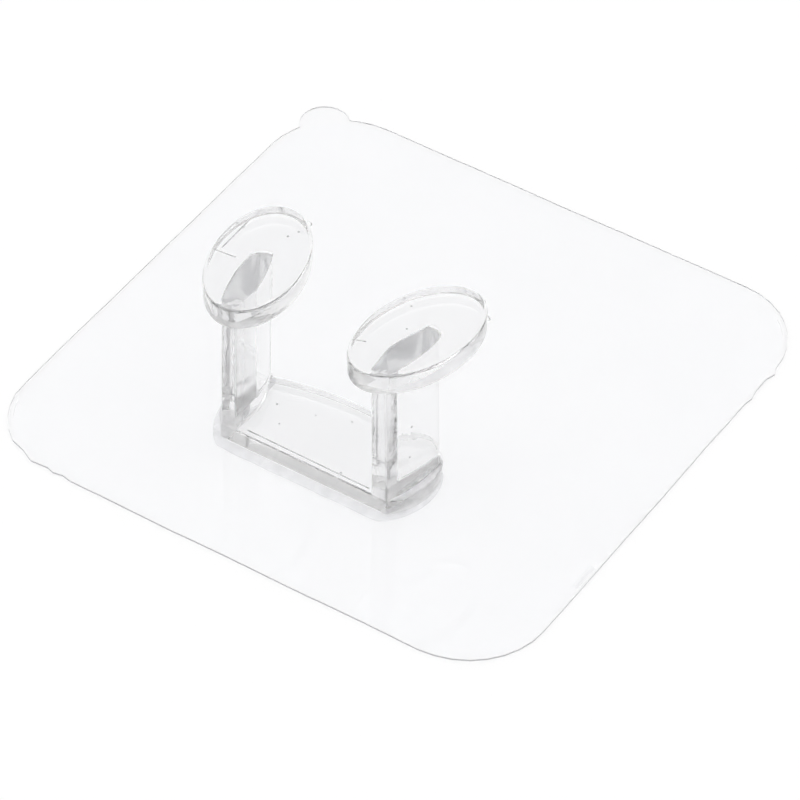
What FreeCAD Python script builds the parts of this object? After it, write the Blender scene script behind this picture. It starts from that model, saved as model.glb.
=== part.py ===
import FreeCAD, Part
import math
import os
import Sketcher

# Adhesive cable clip: a clear moulded holder with two oval headed posts, glued to a clear
# square film that has a peel ear on one corner and a soft adhesive coat on its back.
# Millimetres. The origin is the middle of the adhesive's underside, +Z is up off the film
# and -Y is the way that the holder's flat front faces.

# Driving sizes

SIZES = [
    ("film_side", 60.0, "side of the square film"),
    ("film_thickness", 0.2, "film without its adhesive"),
    ("film_corner_radius", 8.5, "rounding of the film's corners"),
    ("ear_radius", 2.6, "round peel ear on one corner"),
    ("ear_inset", 2.7, "middle of the ear from both sides of the film"),
    ("ear_neck_radius", 0.7, "hollow corner where the ear leaves the film"),
    ("adhesive_thickness", 0.1, "soft adhesive coat"),
    ("adhesive_margin", 0.5, "bare edge of the film round the adhesive"),
    ("glue_thickness", 0.1, "set glue between the film and the holder"),
    ("glue_margin", 0.1, "glue squeezed out behind the base and at its ends"),
    ("glue_run", 1.2, "glue that ran out in front of the base"),
    ("glue_front_length", 18.6, "straight front of the glue"),
    ("glue_end_radius", 6.9, "bulge of each end of the glue"),
    ("glue_corner_radius", 1.2, "rounding of the glue's corners"),
    ("holder_off_centre", 0.15, "holder glued this far left of the film's middle"),
    ("front_distance", 17.05, "film's middle to the holder's flat front"),
    ("base_thickness", 1.8, "base plate"),
    ("base_front_length", 19.2, "straight front edge of the base"),
    ("base_back_length", 22.0, "across the two ends of the bowed back edge"),
    ("base_depth", 9.75, "front edge to the middle of the back edge"),
    ("base_back_radius", 30.0, "bow of the back edge"),
    ("base_end_radius", 6.6, "bulge of each end of the base"),
    ("base_edge_round", 0.3, "rounded top edge of the base"),
    ("post_gap", 15.6, "clear width between the feet of the posts at the front"),
    ("post_front_width", 1.75, "flat front face of a post"),
    ("post_length", 8.05, "front face to the inner back corner of a post"),
    ("post_ridge_distance", 3.15, "front face to the ridge down the inner face"),
    ("post_ridge_height", 0.25, "how far the ridge stands in past the front corner"),
    ("post_toe_out", 1.4, "inner back corner further out than the front corner"),
    ("post_inner_radius", 17.5, "bend of the inner face behind the ridge"),
    ("post_back_width", 1.8, "inner back corner to the outer face"),
    ("post_back_set", 1.25, "outer end of the back face nearer the front"),
    ("post_back_radius", 1.5, "rounding of the back face"),
    ("post_outer_radius", 16.5, "bulge of the outer face"),
    ("post_lean", 0.15, "how far the top of a post leans in"),
    ("post_draft", 0.12, "taken off the outer face at the top so that it leaves the mould"),
    ("post_height", 15.05, "base plate to the underside of a head"),
    ("head_length", 15.7, "long way across an oval head"),
    ("head_width", 9.5, "short way across an oval head"),
    ("head_thickness", 2.45, "oval head"),
    ("head_edge_round", 0.45, "rounded rim of a head"),
    ("head_spacing", 18.1, "middle of one head to the middle of the other"),
    ("head_set_back", 5.8, "holder's front to the middle of a head"),
    ("head_toe_out", 13.7, "degrees that a head's long way turns out from straight back"),
]

doc = FreeCAD.newDocument("cable_clip")
sheet = doc.addObject("Spreadsheet::Sheet", "sizes")
for row, (alias, value, meaning) in enumerate(SIZES, start=1):
    sheet.set(f"A{row}", alias)
    sheet.set(f"B{row}", str(value))
    sheet.set(f"C{row}", meaning)
    sheet.setAlias(f"B{row}", alias)
doc.recompute()


class Length:
    """A length that holds its number now and the expression that ties it to the sheet."""

    def __init__(self, number, text):
        self.number = number
        self.text = text

    def combine(self, other, sign, number):
        text = other.text if isinstance(other, Length) else str(other)
        return Length(number, f"({self.text} {sign} {text})")

    def __add__(self, other):
        return self.combine(other, "+", self.number + number_of(other))

    def __sub__(self, other):
        return self.combine(other, "-", self.number - number_of(other))

    def __mul__(self, other):
        return self.combine(other, "*", self.number * number_of(other))

    def __truediv__(self, other):
        return self.combine(other, "/", self.number / number_of(other))

    def __neg__(self):
        return Length(-self.number, f"(0 - {self.text})")


def number_of(length):
    return length.number if isinstance(length, Length) else length


def size(alias):
    return Length(float(sheet.get(alias)), f"sizes.{alias}")


# Drawing

def new_body(label):
    body = doc.addObject("PartDesign::Body", label)
    body.Label = label
    return body


def place(body, x, y, z):
    """Stands a body in the part's frame, tied to the sheet."""
    for axis, length in zip("xyz", (x, y, z)):
        if length is not None:
            body.setExpression(f"Placement.Base.{axis}", length.text)


def origin_plane(body, role):
    return next(plane for plane in body.Origin.OriginFeatures if plane.Role == role)


def level_sketch(body, name, height=None):
    """A sketch seen from above, on the body's ground plane or lifted off it."""
    sketch = body.newObject("Sketcher::SketchObject", name)
    sketch.AttachmentSupport = [(origin_plane(body, "XY_Plane"), "")]
    sketch.MapMode = "FlatFace"
    if height is not None:
        sketch.setExpression("AttachmentOffset.Base.z", height.text)
    return sketch


def measure(sketch, kind, where, length):
    """Adds one measured constraint and ties it to the sheet."""
    index = sketch.addConstraint(Sketcher.Constraint(kind, *where, length.number))
    sketch.setExpression(f"Constraints[{index}]", length.text)


ORIGIN = (-1, 1)
START, END, CENTRE = range(1, 4)


def pin(sketch, point, x, y):
    measure(sketch, "DistanceX", (*ORIGIN, *point), x)
    measure(sketch, "DistanceY", (*ORIGIN, *point), y)


def outline(sketch, corners, bows):
    """A closed outline, drawn anticlockwise: each side is straight, or bows out to its radius."""
    count = len(corners)
    for side in range(count):
        (x1, y1), (x2, y2) = corners[side], corners[(side + 1) % count]
        start = FreeCAD.Vector(x1.number, y1.number, 0)
        end = FreeCAD.Vector(x2.number, y2.number, 0)
        if bows[side] is None:
            sketch.addGeometry(Part.LineSegment(start, end))
            continue
        radius = bows[side].number
        chord = end - start
        inward = FreeCAD.Vector(-chord.y, chord.x, 0).normalize()
        reach = math.sqrt(radius ** 2 - (chord.Length / 2) ** 2)
        middle = (start + end) / 2 + inward * reach
        first = math.atan2(start.y - middle.y, start.x - middle.x)
        last = math.atan2(end.y - middle.y, end.x - middle.x)
        circle = Part.Circle(middle, FreeCAD.Vector(0, 0, 1), radius)
        sketch.addGeometry(Part.ArcOfCircle(circle, first, last))
    for side in range(count):
        sketch.addConstraint(Sketcher.Constraint("Coincident", side, END, (side + 1) % count, START))
        pin(sketch, (side, START), *corners[side])
        if bows[side] is not None:
            measure(sketch, "Radius", (side,), bows[side])


def pad(body, name, sketch, length):
    feature = body.newObject("PartDesign::Pad", name)
    feature.Profile = sketch
    feature.setExpression("Length", length.text)
    return feature


def edges_where(shape, wanted):
    return [f"Edge{i}" for i, edge in enumerate(shape.Edges, start=1) if wanted(edge)]


def fillet(body, name, wanted, radius):
    """Rounds the edges of the body's last feature that the test picks."""
    doc.recompute()
    base = body.Tip
    names = edges_where(base.Shape, wanted)
    feature = body.newObject("PartDesign::Fillet", name)
    feature.Base = (base, names)
    feature.setExpression("Radius", radius.text)
    return feature


HAIR = 0.001


def is_upright(edge):
    box = edge.BoundBox
    return box.ZLength > HAIR and max(box.XLength, box.YLength) < HAIR


def is_level_at(edge, height):
    box = edge.BoundBox
    return max(abs(box.ZMin - height), abs(box.ZMax - height)) < HAIR


# Adhesive coat: the soft clear layer that sticks to the wall, cast on the film's back and
# kept just short of its edge

def square(body, name, side, thickness):
    half = side / 2
    corners = [(-half, -half), (half, -half), (half, half), (-half, half)]
    sketch = level_sketch(body, name + "_outline")
    outline(sketch, corners, [None] * len(corners))
    return pad(body, name + "_pad", sketch, thickness)


adhesive = new_body("adhesive_layer")
adhesive_inset = size("adhesive_margin")
square(adhesive, "adhesive", size("film_side") - adhesive_inset * 2, size("adhesive_thickness"))
fillet(adhesive, "adhesive_corners", is_upright, size("film_corner_radius") - adhesive_inset)


# Film: one die cut sheet, its corners rounded, with the peel ear on the far left corner

film = new_body("backing_film")
place(film, None, None, size("adhesive_thickness"))
square(film, "film", size("film_side"), size("film_thickness"))
fillet(film, "film_corners", is_upright, size("film_corner_radius"))
ear_sketch = level_sketch(film, "ear_outline")
ear_reach = size("film_side") / 2 - size("ear_inset")
ear_sketch.addGeometry(
    Part.Circle(
        FreeCAD.Vector(-ear_reach.number, ear_reach.number, 0),
        FreeCAD.Vector(0, 0, 1),
        size("ear_radius").number,
    )
)
pin(ear_sketch, (0, CENTRE), -ear_reach, ear_reach)
measure(ear_sketch, "Radius", (0,), size("ear_radius"))
pad(film, "ear", ear_sketch, size("film_thickness"))


def is_ear_neck(edge):
    """The two upright edges where the ear's circle runs into the rounded corner."""
    if not is_upright(edge):
        return False
    middle = edge.BoundBox.Center
    from_ear = math.hypot(middle.x + ear_reach.number, middle.y - ear_reach.number)
    return abs(from_ear - size("ear_radius").number) < HAIR


fillet(film, "ear_neck", is_ear_neck, size("ear_neck_radius"))


# Glue: the thin layer that set between the film and the holder. It follows the base, which
# is flat in front, bulges at both ends and is gently bowed at the back, and the rest of it
# ran out to the front

def base_outline(sketch, front_length, end_radius, margin, run):
    front = -size("front_distance") - run
    back_x = size("base_back_length") / 2
    bow = size("base_back_radius")
    reach = math.sqrt(bow.number ** 2 - back_x.number ** 2)
    bow_drop = Length(
        bow.number - reach,
        f"({bow.text} - sqrt({bow.text} ^ 2 - {back_x.text} ^ 2))",
    )
    back = -size("front_distance") + size("base_depth") - bow_drop + margin
    corners = [
        (-front_length / 2, front),
        (front_length / 2, front),
        (back_x + margin, back),
        (-back_x - margin, back),
    ]
    outline(sketch, corners, [None, end_radius, bow + margin, end_radius])


glue = new_body("glue_layer")
place(glue, -size("holder_off_centre"), None, size("adhesive_thickness") + size("film_thickness"))
glue_sketch = level_sketch(glue, "glue_outline")
base_outline(
    glue_sketch,
    size("glue_front_length"),
    size("glue_end_radius"),
    size("glue_margin"),
    size("glue_run"),
)
pad(glue, "glue_spread", glue_sketch, size("glue_thickness"))
fillet(glue, "glue_corners", is_upright, size("glue_corner_radius"))


# Holder: one clear injection moulding of base plate, two posts and two oval heads

nothing = Length(0.0, "0")
holder = new_body("holder")
place(
    holder,
    -size("holder_off_centre"),
    None,
    size("adhesive_thickness") + size("film_thickness") + size("glue_thickness"),
)
base_sketch = level_sketch(holder, "base_outline")
base_outline(base_sketch, size("base_front_length"), size("base_end_radius"), nothing, nothing)
pad(holder, "base_plate", base_sketch, size("base_thickness"))


def is_base_top(edge):
    return is_level_at(edge, size("base_thickness").number)


fillet(holder, "base_top_edge", is_base_top, size("base_edge_round"))


def post_section(name, height, lean, draft):
    """The right hand post cut level: flat in front, ridged inside, rounded at the back."""
    sketch = level_sketch(holder, name, height)
    front = -size("front_distance")
    front_inner = size("post_gap") / 2 - lean
    back_inner = front_inner + size("post_toe_out")
    back = front + size("post_length")
    corners = [
        (front_inner, front),
        (front_inner + size("post_front_width") - draft, front),
        (back_inner + size("post_back_width") - draft, back - size("post_back_set")),
        (back_inner, back),
        (front_inner - size("post_ridge_height"), front + size("post_ridge_distance")),
    ]
    bows = [
        None,
        size("post_outer_radius"),
        size("post_back_radius"),
        size("post_inner_radius"),
        None,
    ]
    outline(sketch, corners, bows)
    return sketch


head_bottom = size("base_thickness") + size("post_height")
root = size("base_thickness") - size("base_edge_round")
foot = post_section("post_foot", root, nothing, nothing)
top = post_section("post_top", head_bottom, size("post_lean"), size("post_draft"))
post = holder.newObject("PartDesign::AdditiveLoft", "post")
post.Profile = foot
post.Sections = [top]
post.Ruled = True

head_sketch = level_sketch(holder, "head_outline", head_bottom)
head_x = size("head_spacing") / 2
head_y = -size("front_distance") + size("head_set_back")
long_half = size("head_length").number / 2
short_half = size("head_width").number / 2
turn = math.radians(size("head_toe_out").number)
long_way = FreeCAD.Vector(math.sin(turn), math.cos(turn), 0)
short_way = FreeCAD.Vector(math.cos(turn), -math.sin(turn), 0)
head_middle = FreeCAD.Vector(head_x.number, head_y.number, 0)
head_sketch.addGeometry(
    Part.Ellipse(
        head_middle + long_way * long_half,
        head_middle + short_way * short_half,
        head_middle,
    )
)
head_sketch.exposeInternalGeometry(0)
LONG_AXIS, SHORT_AXIS = range(1, 3)
pin(head_sketch, (0, CENTRE), head_x, head_y)
measure(head_sketch, "Distance", (LONG_AXIS,), size("head_length"))
measure(head_sketch, "Distance", (SHORT_AXIS,), size("head_width"))
axis_angle = head_sketch.addConstraint(
    Sketcher.Constraint("Angle", LONG_AXIS, math.radians(90 - size("head_toe_out").number))
)
head_sketch.setExpression(f"Constraints[{axis_angle}]", "90 - sizes.head_toe_out")
head = pad(holder, "head", head_sketch, size("head_thickness"))

mirror = holder.newObject("PartDesign::Mirrored", "left_post_and_head")
mirror.Originals = [post, head]
mirror.MirrorPlane = (origin_plane(holder, "YZ_Plane"), [""])
holder.Tip = mirror
doc.recompute()

head_top = head_bottom + size("head_thickness")


def is_head_rim(edge):
    """The long closed edges round the top and the underside of each head."""
    if edge.Length < size("head_length").number:
        return False
    return is_level_at(edge, head_bottom.number) or is_level_at(edge, head_top.number)


fillet(holder, "head_rims", is_head_rim, size("head_edge_round"))


# Finish: every piece has to come out whole before any of them is written

doc.recompute()
bodies = [adhesive, film, glue, holder]
for item in doc.Objects:
    if "Invalid" in item.State or "Error" in item.State:
        raise RuntimeError(f"{item.Name} did not build")
for body in bodies:
    if body.Shape.isNull() or not body.Shape.isValid() or len(body.Shape.Solids) != 1:
        raise RuntimeError(f"{body.Label} is not one whole solid")

os.makedirs("parts", exist_ok=True)
for body in bodies:
    body.Shape.exportStep(f"parts/{body.Label}.step")
    print(body.Label, round(body.Shape.Volume, 2), "cubic mm")
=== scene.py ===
import math

import bpy
from mathutils import Matrix, Vector


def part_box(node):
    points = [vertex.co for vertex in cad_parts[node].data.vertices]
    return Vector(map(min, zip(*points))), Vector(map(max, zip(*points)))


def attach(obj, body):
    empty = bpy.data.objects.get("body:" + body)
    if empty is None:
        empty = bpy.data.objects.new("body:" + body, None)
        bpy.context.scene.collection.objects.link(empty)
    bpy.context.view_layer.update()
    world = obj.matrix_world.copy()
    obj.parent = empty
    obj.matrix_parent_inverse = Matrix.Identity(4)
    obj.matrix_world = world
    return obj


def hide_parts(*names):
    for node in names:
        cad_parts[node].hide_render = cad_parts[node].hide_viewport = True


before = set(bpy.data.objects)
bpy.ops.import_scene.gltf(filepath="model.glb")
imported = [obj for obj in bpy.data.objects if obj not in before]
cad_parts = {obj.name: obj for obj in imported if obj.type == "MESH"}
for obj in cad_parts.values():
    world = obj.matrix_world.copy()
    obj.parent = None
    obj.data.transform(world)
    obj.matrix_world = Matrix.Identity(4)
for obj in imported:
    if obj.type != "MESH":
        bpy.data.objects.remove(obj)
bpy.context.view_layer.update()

# The soft adhesive coat that holds the clip to a wall: a clear rubbery layer, cast on the
# film's back and stopped just short of its cut edge. It was poured, so its face is uneven.

MILLIMETRE = 0.001
HAIRLINE = 0.006            # air that is left between two layers, so that each has its own face
FROST = (0.93, 0.93, 0.95)
ADHESIVE_CORNER = 8.0


def corners_of(node):
    """The lowest and highest corner of a node of the frame, in millimetres."""
    low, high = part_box(node)
    return low / MILLIMETRE, high / MILLIMETRE


def side_between(start, end, bow):
    """One side of an outline: straight, or an arc of radius bow that swells outwards."""
    chord = end - start
    inward = Vector((-chord.y, chord.x)).normalized()
    if bow is None:
        return {"start": start, "inward": inward, "centre": None}
    reach = math.sqrt(bow**2 - (chord.length / 2) ** 2)
    return {"centre": (start + end) / 2 + inward * reach, "radius": bow}


def depth(side, point):
    """How far a point lies inside a side, and the way further in."""
    if side["centre"] is None:
        return (point - side["start"]).dot(side["inward"]), side["inward"]
    out = point - side["centre"]
    return side["radius"] - out.length, -out.normalized()


def rounding_centre(before, after, corner, radius):
    """The middle of the arc that rounds the corner between two sides, found step by step."""
    point = corner.copy()
    for step in range(12):
        deep_before, way_before = depth(before, point)
        deep_after, way_after = depth(after, point)
        short_before, short_after = radius - deep_before, radius - deep_after
        point += Vector((
            short_before * way_after.y - short_after * way_before.y,
            short_after * way_before.x - short_before * way_after.x,
        )) / way_before.cross(way_after)
    return point


def spin_to(centre, start, end, height, fineness):
    """Draws an arc from the point that is selected, anticlockwise, in steps of fineness degrees."""
    first, last = start - centre, end - centre
    angle = (math.atan2(last.y, last.x) - math.atan2(first.y, first.x)) % math.tau
    steps = max(3, round(math.degrees(angle) / fineness))
    bpy.ops.mesh.spin(steps=steps, angle=-angle, center=(*centre, height), axis=(0, 0, 1))


def draw_face(name, corners, bows, rounds, height, fineness=3.0):
    """A level face whose outline is drawn from one point by extruding and spinning it."""
    count = len(corners)
    corners = [Vector(corner) for corner in corners]
    sides = [side_between(corners[i], corners[(i + 1) % count], bows[i]) for i in range(count)]
    middles = [rounding_centre(sides[i - 1], sides[i], corners[i], rounds[i]) for i in range(count)]
    starts = [middles[i] - depth(sides[i], middles[i])[1] * rounds[i] for i in range(count)]
    ends = [middles[i] - depth(sides[i - 1], middles[i])[1] * rounds[i] for i in range(count)]
    bpy.ops.object.select_all(action="DESELECT")
    bpy.ops.mesh.primitive_plane_add(size=1)
    piece = bpy.context.object
    piece.name = piece.data.name = name
    bpy.ops.object.mode_set(mode="EDIT")
    bpy.context.tool_settings.mesh_select_mode = (True, False, False)
    bpy.ops.mesh.merge(type="CENTER")
    bpy.ops.transform.translate(value=(*starts[0], height))
    for i in range(count):
        following = (i + 1) % count
        if sides[i]["centre"] is None:
            run = (*(ends[following] - starts[i]), 0)
            bpy.ops.mesh.extrude_region_move(TRANSFORM_OT_translate={"value": run})
        else:
            spin_to(sides[i]["centre"], starts[i], ends[following], height, fineness)
        spin_to(middles[following], ends[following], starts[following], height, 4 * fineness)
    bpy.ops.mesh.select_all(action="SELECT")
    bpy.ops.mesh.remove_doubles(threshold=0.002)
    bpy.ops.mesh.edge_face_add()
    bpy.ops.object.mode_set(mode="OBJECT")
    return piece


def alone(piece):
    """Makes a piece the only one that the next operators act on."""
    bpy.ops.object.select_all(action="DESELECT")
    piece.select_set(True)
    bpy.context.view_layer.objects.active = piece


def select_whole(piece):
    """Opens a piece for editing, with all of it selected."""
    alone(piece)
    bpy.ops.object.mode_set(mode="EDIT")
    bpy.ops.mesh.select_all(action="SELECT")


def close_shell():
    """Turns all faces of the piece that is being edited outwards, and ends the editing."""
    bpy.ops.mesh.select_all(action="SELECT")
    bpy.ops.mesh.normals_make_consistent(inside=False)
    bpy.ops.object.mode_set(mode="OBJECT")


def raise_face(piece, thickness):
    """Extrudes a face straight up into a plate."""
    select_whole(piece)
    bpy.ops.mesh.extrude_region_move(TRANSFORM_OT_translate={"value": (0, 0, thickness)})
    close_shell()


def finish_piece(piece, node, material, crease=35):
    """Brings a piece from millimetres to metres, smooths it and ties it to its node."""
    alone(piece)
    piece.scale = (MILLIMETRE,) * 3
    bpy.ops.object.transform_apply(location=True, rotation=True, scale=True)
    bpy.ops.object.shade_smooth_by_angle(angle=math.radians(crease))
    even = piece.modifiers.new("even_shading", "WEIGHTED_NORMAL")
    even.keep_sharp = True
    bpy.ops.object.modifier_apply(modifier=even.name)
    piece.data.materials.clear()
    piece.data.materials.append(material)
    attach(piece, "root")
    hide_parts(node)


class Signal:
    """A socket in a material's nodes. Arithmetic on it adds the Math nodes that it needs."""

    def __init__(self, tree, socket=None):
        self.tree = tree
        self.socket = socket

    def node(self, kind, settings, sockets, output=0):
        """Adds any node, from its settings and what its inputs hold or are linked to."""
        made = self.tree.nodes.new(kind)
        for name, value in settings.items():
            setattr(made, name, value)
        for name, value in sockets.items():
            if isinstance(value, Signal):
                self.tree.links.new(value.socket, made.inputs[name])
            else:
                made.inputs[name].default_value = value
        return Signal(self.tree, made.outputs[output] if made.outputs else None)

    def math(self, operation, first, second):
        """Adds one Math node."""
        return self.node("ShaderNodeMath", {"operation": operation}, {0: first, 1: second})

    def __add__(self, other):
        return self.math("ADD", self, other)

    def __radd__(self, other):
        return self.math("ADD", other, self)

    def __sub__(self, other):
        return self.math("SUBTRACT", self, other)

    def __rsub__(self, other):
        return self.math("SUBTRACT", other, self)

    def __mul__(self, other):
        return self.math("MULTIPLY", self, other)

    def __rmul__(self, other):
        return self.math("MULTIPLY", other, self)

    def __lt__(self, other):
        return self.math("LESS_THAN", self, other)

    def __gt__(self, other):
        return self.math("GREATER_THAN", self, other)


def new_tree(block):
    """Empties the nodes of a material or a world and gives a signal to add others with."""
    block.use_nodes = True
    block.node_tree.nodes.clear()
    return Signal(block.node_tree)


def new_material(name):
    """An empty material, and the place of each point on its piece."""
    material = bpy.data.materials.new(name)
    return material, new_tree(material).node("ShaderNodeTexCoord", {}, {}, "Object")


def clouds(place, width, detail=2.0):
    """Soft noise from 0 to 1 whose patches are about as wide as the width in millimetres."""
    return place.node(
        "ShaderNodeTexNoise", {}, {"Vector": place, "Scale": 1 / (width * MILLIMETRE), "Detail": detail}
    )


def blend(factor, first, second):
    """A colour that goes from the first to the second."""
    colours = {"Factor": factor, 6: (*first, 1), 7: (*second, 1)}
    return factor.node("ShaderNodeMix", {"data_type": "RGBA"}, colours, 2)


def clear_surface(place, index, haze, colour, roughness, height, dimming=0.0, frost=None):
    """Clear plastic with a little haze in it.

    The height is the relief of its face in millimetres, the dimming how strongly the plastic
    swallows light, per metre.
    Where there is frost, the face scatters the light as a cut one does.
    """
    relief = place.node(
        "ShaderNodeBump", {}, {"Height": height, "Distance": MILLIMETRE, "Strength": 1.0}
    )
    shader = place.node(
        "ShaderNodeBsdfPrincipled",
        {},
        {
            "Base Color": colour,
            "Roughness": roughness,
            "IOR": index,
            "Transmission Weight": 1 - haze,
            "Normal": relief,
        },
    )
    if frost is not None:
        matt = place.node(
            "ShaderNodeBsdfPrincipled", {}, {"Base Color": (*FROST, 1), "Roughness": 0.7}
        )
        shader = place.node("ShaderNodeMixShader", {}, {"Fac": frost, 1: shader, 2: matt})
    output = {"Surface": shader}
    if dimming:
        inside = {"Color": (0, 0, 0, 1), "Density": dimming}
        output["Volume"] = place.node("ShaderNodeVolumeAbsorption", {}, inside)
    place.node("ShaderNodeOutputMaterial", {}, output)


def square_corners(low, high):
    """The corners of a level rectangle, anticlockwise."""
    return [(low.x, low.y), (high.x, low.y), (high.x, high.y), (low.x, high.y)]


low, high = corners_of("adhesive_layer")
adhesive = draw_face(
    "adhesive_coat", square_corners(low, high), [None] * 4, [ADHESIVE_CORNER] * 4, low.z
)
raise_face(adhesive, high.z - low.z - HAIRLINE)
soft_adhesive, place = new_material("soft_adhesive")
clear_surface(
    place,
    index=1.04,
    haze=0.0,
    colour=blend(clouds(place, 12), (0.997, 0.998, 1.0), (0.99, 0.992, 0.996)),
    roughness=0.02 * clouds(place, 5),
    height=0.01 * clouds(place, 6),
)
finish_piece(adhesive, "adhesive_layer", soft_adhesive)

# The film that carries it all: clear sheet, cut to a rounded square by a knife whose line
# wanders a little, with a round peel ear left on one corner. Its edge is nicked near one
# corner and burred near the opposite one, and a bubble is caught under its right hand side.

SAME = 0.01                 # two heights or places that are closer than this are one
FILM_CORNER = 8.5
EAR_RADIUS = 2.6
EAR_INSET = 2.7
EAR_NECK = 0.4
NICKS = [((-24.9, -30.0), (0.1, 0.3)), ((-22.0, -30.0), (0.2, 0.25)), ((-19.4, -30.0), (0.0, 0.2))]
BURRS = [((30.0, 21.0), (0.35, 0.1)), ((30.0, 16.5), (0.2, 0.0))]
BUBBLE = [(29.4, -14.9, 0.25), (29.4, -12.2, 0.25)]
BUBBLE_WIDTH = 0.45


def pick_edges(piece, wanted, sharper_than=None):
    """Selects, in edit mode, the edges that the test picks by their two ends."""
    alone(piece)
    bpy.ops.object.mode_set(mode="EDIT")
    bpy.context.tool_settings.mesh_select_mode = (False, True, False)
    bpy.ops.mesh.select_all(action="SELECT")
    if sharper_than is not None:
        bpy.ops.mesh.select_all(action="DESELECT")
        bpy.ops.mesh.edges_select_sharp(sharpness=math.radians(sharper_than))
    bpy.ops.object.mode_set(mode="OBJECT")
    mesh = piece.data
    for edge in mesh.edges:
        first, second = (mesh.vertices[i].co for i in edge.vertices)
        edge.select = edge.select and wanted(first, second)
    for group in (mesh.vertices, mesh.polygons):
        group.foreach_set("select", [False] * len(group))
    bpy.ops.object.mode_set(mode="EDIT")


def wander(piece, longer_than, cuts, amount, seed):
    """Splits the long edges of a level face, and lets the points on them stray."""
    height = piece.data.vertices[0].co.z
    pick_edges(piece, lambda first, second: (first - second).length > longer_than)
    bpy.ops.mesh.subdivide(number_cuts=cuts)
    bpy.ops.transform.vertex_random(offset=amount, uniform=0, normal=0, seed=seed)
    bpy.ops.transform.resize(value=(1, 1, 0), center_override=(0, 0, height))
    bpy.ops.object.mode_set(mode="OBJECT")


def pick_points(piece, wanted):
    """Selects, in edit mode, the points that the test picks."""
    alone(piece)
    bpy.ops.object.mode_set(mode="EDIT")
    bpy.context.tool_settings.mesh_select_mode = (True, False, False)
    bpy.ops.mesh.select_all(action="DESELECT")
    bpy.ops.object.mode_set(mode="OBJECT")
    for point in piece.data.vertices:
        point.select = wanted(point)
    bpy.ops.object.mode_set(mode="EDIT")


def nudge(piece, spot, shift):
    """Moves the point of an outline that is nearest to a spot."""
    spot = Vector(spot)
    nearest = min(piece.data.vertices, key=lambda point: (point.co.xy - spot).length).index
    pick_points(piece, lambda point: point.index == nearest)
    bpy.ops.transform.translate(value=(*shift, 0))
    bpy.ops.object.mode_set(mode="OBJECT")


def union(piece, *others):
    """Melts other shapes into a piece, as one moulding or one cut sheet."""
    alone(piece)
    for other in others:
        joined = piece.modifiers.new("joined", "BOOLEAN")
        joined.operation = "UNION"
        joined.solver = "EXACT"
        joined.object = other
        bpy.ops.object.modifier_apply(modifier=joined.name)
        bpy.data.objects.remove(other)
    select_whole(piece)
    bpy.ops.mesh.remove_doubles(threshold=0.004)
    bpy.ops.mesh.dissolve_degenerate(threshold=0.001)
    close_shell()


def round_edges(piece, wanted, radius, segments, sharper_than=None):
    """Rounds the edges that the test picks."""
    pick_edges(piece, wanted, sharper_than)
    bpy.ops.mesh.bevel(offset=radius, segments=segments, affect="EDGES")
    bpy.ops.object.mode_set(mode="OBJECT")


def add_cylinder(radius, depth, middle, sides):
    """A round shape with its middle at a point, in the piece's millimetres."""
    bpy.ops.object.select_all(action="DESELECT")
    bpy.ops.mesh.primitive_cylinder_add(vertices=sides, radius=radius, depth=depth, location=middle)
    bpy.ops.object.transform_apply(location=True, rotation=True, scale=True)
    return bpy.context.object


def fine_line(place, start, end, width):
    """1 on a straight fine line between two points, in millimetres, fading to 0 beside it."""
    start, end = (Vector(point) * MILLIMETRE for point in (start, end))
    way = end - start
    offset = place.node("ShaderNodeVectorMath", {"operation": "SUBTRACT"}, {0: place, 1: start})
    along = place.node("ShaderNodeVectorMath", {"operation": "DOT_PRODUCT"}, {0: offset, 1: way}, "Value")
    share = place.node("ShaderNodeClamp", {}, {"Value": along * (1 / way.length_squared)})
    nearest = place.node("ShaderNodeVectorMath", {"operation": "SCALE"}, {0: way, "Scale": share})
    apart = place.node("ShaderNodeVectorMath", {"operation": "DISTANCE"}, {0: offset, 1: nearest}, "Value")
    return place.node("ShaderNodeClamp", {}, {"Value": 1 - apart * (1 / (width * MILLIMETRE))})


def part(vector, axis):
    """One of a vector's three numbers."""
    return vector.node("ShaderNodeSeparateXYZ", {}, {"Vector": vector}, axis)


def size_of(signal):
    """A number without its sign."""
    return signal.math("ABSOLUTE", signal, 0)


low, high = corners_of("backing_film")
film = draw_face("film", square_corners(low, high), [None] * 4, [FILM_CORNER] * 4, low.z)
wander(film, longer_than=20, cuts=5, amount=0.12, seed=4)
wander(film, longer_than=4, cuts=6, amount=0.03, seed=7)
for spot, shift in NICKS + BURRS:
    nudge(film, spot, shift)
raise_face(film, high.z - low.z)
ear_middle = Vector((low.x + EAR_INSET, high.y - EAR_INSET, (low.z + high.z) / 2))
union(film, add_cylinder(EAR_RADIUS, high.z - low.z, ear_middle, sides=72))


def on_ear_neck(first, second):
    """The upright edges where the ear's circle leaves the rounded corner."""
    upright = (first.xy - second.xy).length < SAME
    return upright and abs((first.xy - ear_middle.xy).length - EAR_RADIUS) < 2 * SAME


round_edges(film, on_ear_neck, EAR_NECK, segments=3, sharper_than=25)
clear_film, place = new_material("clear_film")
bubble = fine_line(place, *BUBBLE, BUBBLE_WIDTH)
cut_edge = size_of(part(place.node("ShaderNodeNewGeometry", {}, {}, "Normal"), "Z")) < 0.5
clear_surface(
    place,
    index=1.35,
    haze=0.02,
    colour=blend(clouds(place, 20), (0.982, 0.982, 0.986), (0.965, 0.966, 0.972)),
    roughness=0.03 + 0.05 * clouds(place, 9),
    height=0.012 * clouds(place, 12) + 0.05 * bubble,
    frost=0.75 * cut_edge + 0.15 * bubble,
)
finish_piece(film, "backing_film", clear_film)

# The glue between the film and the holder: a thin layer that set where it was squeezed, just
# past the base's back edge and ends and out in an uneven line in front of it. It is clear
# under the middle of the base and cloudy where it was squeezed out in front. At the two ends,
# where the posts stand, it is frosted too, and its colour is darkened there as painted shade under the
# posts.

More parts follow.
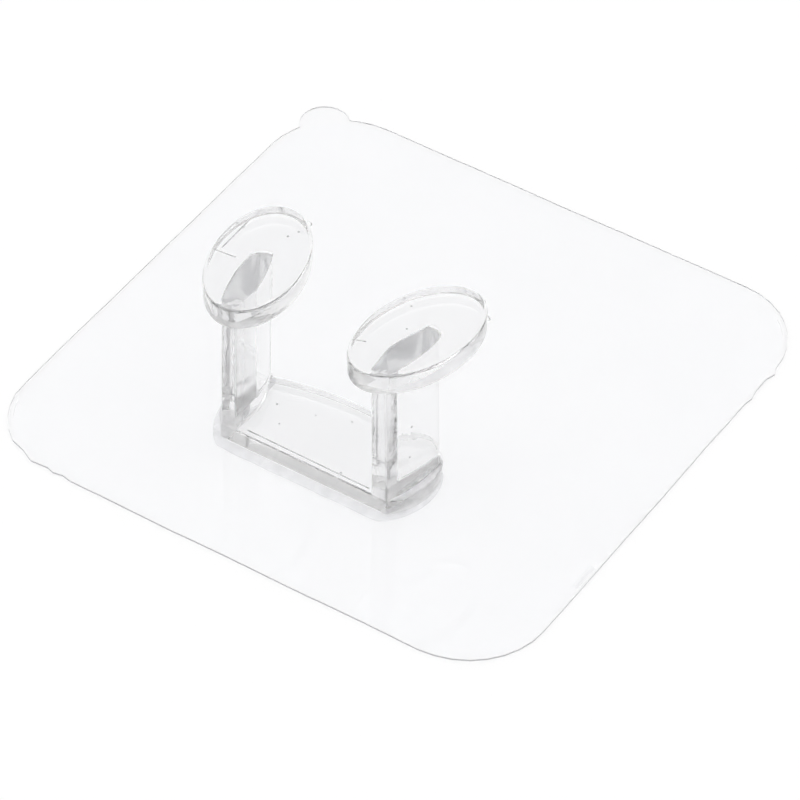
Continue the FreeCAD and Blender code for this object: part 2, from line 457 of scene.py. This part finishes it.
FRONT = -17.05              # the holder's flat front
GLUE_MARGIN = 0.1
GLUE_RUN = 1.2
GLUE_FRONT = 18.6
GLUE_END_BOW = 6.9
GLUE_CORNER = 1.2
FOOT_ENDS_FROM = 8.9           # how far from the holder's middle the ends begin: painted shade and frost in the glue, frost on the holder's underside
BASE_BACK = 22.0
BASE_DEPTH = 9.75
BASE_BACK_BOW = 30.0

low, high = corners_of("holder")
middle = (low.x + high.x) / 2
back_drop = BASE_BACK_BOW - math.sqrt(BASE_BACK_BOW**2 - (BASE_BACK / 2) ** 2)
back_end = FRONT + BASE_DEPTH - back_drop


def base_corners(front_length, margin, run):
    """The corners of the base's outline, made wider by a margin and run out to the front."""
    return [
        (middle - front_length / 2, FRONT - run),
        (middle + front_length / 2, FRONT - run),
        (middle + BASE_BACK / 2 + margin, back_end + margin),
        (middle - BASE_BACK / 2 - margin, back_end + margin),
    ]


def at_ends(place):
    """1 near the two ends of the holder, where the posts stand, and 0 between them."""
    return size_of(part(place, "X") - middle * MILLIMETRE) > FOOT_ENDS_FROM * MILLIMETRE


glue_low, glue_high = corners_of("glue_layer")
glue = draw_face(
    "glue",
    base_corners(GLUE_FRONT, GLUE_MARGIN, GLUE_RUN),
    [None, GLUE_END_BOW, BASE_BACK_BOW + GLUE_MARGIN, GLUE_END_BOW],
    [GLUE_CORNER] * 4,
    glue_low.z + HAIRLINE,
)
wander(glue, longer_than=5, cuts=14, amount=0.1, seed=2)
raise_face(glue, glue_high.z - glue_low.z - 2 * HAIRLINE)
clear_glue, place = new_material("clear_glue")
# The mask is the squeezed-out glue in front and the two ends under the posts. Its grey colour is the
# cloudy glue in front, and painted shade under the posts at the ends.
before = part(place, "Y") < FRONT * MILLIMETRE
squeeze_out_and_foot_shade = before.math("MAXIMUM", before, at_ends(place))
clear_surface(
    place,
    index=1.15,
    haze=0.0,
    colour=blend(squeeze_out_and_foot_shade * clouds(place, 2), (1.0, 1.0, 1.0), (0.85, 0.853, 0.86)),
    roughness=0.02 + 0.2 * squeeze_out_and_foot_shade * clouds(place, 2),
    height=0.06 * clouds(place, 1.5, 4.0),
    frost=0.25 * squeeze_out_and_foot_shade * clouds(place, 0.8, 4.0),
)
finish_piece(glue, "glue_layer", clear_glue)

# The holder: base plate, two posts and two oval heads, moulded in one shot of clear plastic.
# The posts lean in and thin towards the top to leave the mould, and swell where they meet the
# base and the heads. The heads kept nibs where they were broken off the runner.

BASE_FRONT = 19.2
BASE_THICKNESS = 1.8
BASE_END_BOW = 6.6
BASE_CORNERS = [0.4, 0.4, 0.5, 0.5]
BASE_EDGE = 0.3
BASE_LOWER_EDGE = 0.06
SET_BACK = 0.012            # the posts' front faces stand this far behind the base's
POST_GAP = 15.6
POST_FRONT_WIDTH = 1.75
POST_BACK_WIDTH = 1.8
POST_LENGTH = 8.05
POST_TOE_OUT = 1.4
POST_BACK_SET = 1.25
POST_RIDGE = (0.25, 3.15)
POST_BOWS = [None, 16.5, 1.5, 17.5, None]
POST_CORNERS = [0.2, 0.25, 0.3, 0.3, 0.4]
POST_LEAN = 0.16
POST_DRAFT = 0.93
POST_HEIGHT = 15.05
SUNK = 0.6                  # how far a post is drawn into the base and its head, to melt with them
FOOT = [(-0.02, 1.06), (0.03, 1.045), (0.1, 1.028), (0.2, 1.014), (0.32, 1.005), (0.5, 1.0)]
NECK = [(0.4, 1.0), (0.22, 1.006), (0.1, 1.018), (0.03, 1.035), (-SUNK, 1.05)]
HEAD_LENGTH = 15.7
HEAD_WIDTH = 9.5
HEAD_THICKNESS = 2.45
HEAD_SPACING = 18.1
HEAD_BACK = 5.8
HEAD_TOE_OUT = 13.7
HEAD_RIM = 0.4
NIB_RADIUS = 0.3
NIB_SHAPE = (1.0, 0.7, 0.8)
NIBS = [(-8.2, -4.0, 19.1), (11.6, -4.1, 19.2), (12.9, -5.3, 18.7)]
DUST_SPACING = 2.2
DUST_SIZE = 0.06            # as a share of the spacing
SCRATCH_WIDTH = 0.1
SCRATCHES = [
    ((-13.7, -12.6, 19.7), (-11.0, -12.35, 19.7)),
    ((-13.85, -11.0, 19.7), (-13.85, -6.9, 19.7)),
    ((-12.85, -11.9, 19.7), (-12.9, -6.8, 19.7)),
    ((4.4, -15.75, 19.7), (5.7, -15.25, 19.7)),
    ((-7.0, -16.35, 2.2), (7.0, -16.5, 2.2)),
]


def level_at(height):
    """A test that picks the edges which lie at a height."""
    return lambda first, second: max(abs(first.z - height), abs(second.z - height)) < SAME


base_top = low.z + BASE_THICKNESS
holder = draw_face(
    "holder_moulding",
    base_corners(BASE_FRONT, 0, 0),
    [None, BASE_END_BOW, BASE_BACK_BOW, BASE_END_BOW],
    BASE_CORNERS,
    low.z,
)
raise_face(holder, BASE_THICKNESS)
round_edges(holder, level_at(low.z), BASE_LOWER_EDGE, segments=2)
round_edges(holder, level_at(base_top), BASE_EDGE, segments=5)

inner = middle + POST_GAP / 2
face = FRONT + SET_BACK
back_inner = inner + POST_TOE_OUT
back = FRONT + POST_LENGTH
post = draw_face(
    "post",
    [
        (inner, face),
        (inner + POST_FRONT_WIDTH, face),
        (back_inner + POST_BACK_WIDTH, back - POST_BACK_SET),
        (back_inner, back),
        (inner - POST_RIDGE[0], FRONT + POST_RIDGE[1]),
    ],
    POST_BOWS,
    POST_CORNERS,
    base_top - SUNK,
)
anchor = (inner + POST_FRONT_WIDTH / 3, face, 0)
rings = FOOT + [(POST_HEIGHT - below, spread) for below, spread in NECK]
select_whole(post)
reached, swollen = -SUNK, 1.0
for height, spread in rings:
    if reached > -SUNK:
        grow = spread / swollen
    else:
        bpy.ops.transform.resize(value=(spread, spread, 1), center_override=anchor)
        grow = 1.0
    bpy.ops.mesh.extrude_region_move(TRANSFORM_OT_translate={"value": (0, 0, height - reached)})
    bpy.ops.transform.resize(value=(grow, grow, 1), center_override=anchor)
    reached, swollen = height, spread
close_shell()
pick_points(post, lambda point: point.co.z > base_top + POST_HEIGHT / 2)
bpy.ops.transform.translate(value=(-POST_LEAN, 0, 0))
bpy.ops.transform.resize(value=(POST_DRAFT, 1, 1), center_override=(inner - POST_LEAN, 0, 0))
bpy.ops.object.mode_set(mode="OBJECT")

head = add_cylinder(1, HEAD_THICKNESS, (0, 0, 0), sides=180)
head.scale = (HEAD_WIDTH / 2, HEAD_LENGTH / 2, 1)
bpy.ops.object.transform_apply(location=True, rotation=True, scale=True)
round_edges(head, lambda first, second: abs(first.z - second.z) < SAME, HEAD_RIM, segments=8)
head.rotation_euler.z = -math.radians(HEAD_TOE_OUT)
head.location = (middle + HEAD_SPACING / 2, FRONT + HEAD_BACK, high.z - HEAD_THICKNESS / 2)
bpy.ops.object.transform_apply(location=True, rotation=True, scale=True)


def mirrored(piece):
    """The same shape on the other side of the holder's middle."""
    alone(piece)
    bpy.ops.object.duplicate()
    twin = bpy.context.object
    twin.location.x = 2 * middle
    twin.scale.x = -1
    bpy.ops.object.transform_apply(location=True, rotation=True, scale=True)
    select_whole(twin)
    close_shell()
    return twin


def nib(x, y, z):
    """A blob of plastic that was left on a head's rim."""
    bpy.ops.object.select_all(action="DESELECT")
    bpy.ops.mesh.primitive_ico_sphere_add(subdivisions=3, radius=NIB_RADIUS, location=(x, y, z))
    bpy.ops.transform.resize(value=NIB_SHAPE)
    bpy.ops.object.transform_apply(location=True, rotation=True, scale=True)
    return bpy.context.object


twin_post = mirrored(post)
twin_head = mirrored(head)
union(holder, post, twin_post, head, twin_head, *(nib(*spot) for spot in NIBS))

clear_plastic, place = new_material("clear_plastic")
underside = part(place, "Z") < (low.z + BASE_LOWER_EDGE) * MILLIMETRE
cells = {"Vector": place, "Scale": 1 / (DUST_SPACING * MILLIMETRE)}
dust = place.node("ShaderNodeTexVoronoi", {}, cells, "Distance") < DUST_SIZE
scratches = (fine_line(place, *ends, SCRATCH_WIDTH) for ends in SCRATCHES)
marks = dust.math("MINIMUM", sum(scratches, dust), 1.0)
clear_surface(
    place,
    index=1.49,
    haze=0.02,
    dimming=8.0,
    colour=blend(marks, (1.0, 1.0, 1.0), (0.3, 0.3, 0.3)),
    roughness=0.02 * clouds(place, 3) + 0.05 * underside,
    height=0.04 * clouds(place, 3) + 0.01 * clouds(place, 0.6) + 0.08 * marks,
    frost=underside * at_ends(place) * (0.15 + 0.5 * clouds(place, 1.0, 4.0)),
)
finish_piece(holder, "holder", clear_plastic)

# The white sheet that the clip lies on. It is a hair below the adhesive, so that the two
# faces stay apart, and glows a little, so that clear plastic shows it as white as it is.

TABLE_SIDE = 6.0            # in metres
TABLE_GREY = 0.5
TABLE_DROP = 0.05 * MILLIMETRE
TABLE_GLOW = 0.5
TABLE_SEEN_THROUGH = 0.52

bpy.ops.object.select_all(action="DESELECT")
bpy.ops.mesh.primitive_plane_add(size=TABLE_SIDE, location=(0, 0, -TABLE_DROP))
table = bpy.context.object
table.name = "table"
table_paint = bpy.data.materials.new("table_paint")
start = new_tree(table_paint)
by_camera = start.node("ShaderNodeLightPath", {}, {}, "Is Camera Ray")
by_gloss = start.node("ShaderNodeLightPath", {}, {}, "Is Glossy Ray")
through = start.node("ShaderNodeLightPath", {}, {}, "Is Transmission Ray")
strength = start.math("MAXIMUM", by_camera, by_gloss) * TABLE_GLOW
strength = start.math("MAXIMUM", strength, through * TABLE_SEEN_THROUGH)
matt = start.node("ShaderNodeBsdfDiffuse", {}, {"Color": (TABLE_GREY,) * 3 + (1,)})
glow = start.node("ShaderNodeEmission", {}, {"Color": (1, 1, 1, 1), "Strength": strength})
both = start.node("ShaderNodeAddShader", {}, {0: matt, 1: glow})
start.node("ShaderNodeOutputMaterial", {}, {"Surface": both})
table.data.materials.append(table_paint)

# The light: a plain studio, bright overhead, greyer at the sides and light again near the
# table. The camera sees it as white.

SKY = [(0.0, 0.95), (0.05, 0.75), (0.35, 0.68), (0.72, 0.68), (0.88, 1.5), (1.0, 1.8)]

studio = bpy.data.worlds.new("studio")
bpy.context.scene.world = studio
start = new_tree(studio)
direction = start.node("ShaderNodeTexCoord", {}, {}, "Generated")
sky = start.node("ShaderNodeValToRGB", {}, {"Fac": part(direction, "Z")})
ramp = sky.socket.node.color_ramp
ramp.interpolation = "EASE"
while len(ramp.elements) < len(SKY):
    ramp.elements.new(0.5)
for element, (position, level) in zip(ramp.elements, SKY):
    element.position = position
    element.color = (level, level, level, 1)
by_camera = start.node("ShaderNodeLightPath", {}, {}, "Is Camera Ray")
air = start.node("ShaderNodeMix", {"data_type": "RGBA"}, {"Factor": by_camera, 6: sky, 7: (1, 1, 1, 1)}, 2)
light = start.node("ShaderNodeBackground", {}, {"Color": air, "Strength": 1.0})
start.node("ShaderNodeOutputWorld", {}, {"Surface": light})

# The camera stands over the right hand front of the clip and looks down at it, far off and
# with a long lens, from the place that was fitted to the film's four straight edges.

AZIMUTH = 32.543
ELEVATION = 43.783
ROLL = 0.916
DISTANCE = 0.50317
TARGET = Vector((0.001804, -0.003019, 0.0003))
LENS = 232.03
SENSOR = 36

camera_data = bpy.data.cameras.new("camera")
camera = bpy.data.objects.new("camera", camera_data)
scene = bpy.context.scene
scene.collection.objects.link(camera)
scene.camera = camera
camera_data.lens = LENS
camera_data.sensor_width = SENSOR
azimuth, elevation, roll = (math.radians(angle) for angle in (AZIMUTH, ELEVATION, ROLL))
right = Vector((math.cos(azimuth), math.sin(azimuth), 0))
away = Vector((
    math.sin(azimuth) * math.cos(elevation),
    -math.cos(azimuth) * math.cos(elevation),
    math.sin(elevation),
))
upward = away.cross(right)
across = right * math.cos(roll) + upward * math.sin(roll)
upright = upward * math.cos(roll) - right * math.sin(roll)
turn = Matrix((across, upright, away)).transposed().to_4x4()
camera.matrix_world = Matrix.Translation(TARGET + away * DISTANCE) @ turn

scene.view_settings.view_transform = "Standard"
scene.cycles.blur_glossy = 0.0
scene.cycles.max_bounces = 40
scene.cycles.transmission_bounces = 40
scene.cycles.glossy_bounces = 20
scene.cycles.transparent_max_bounces = 20
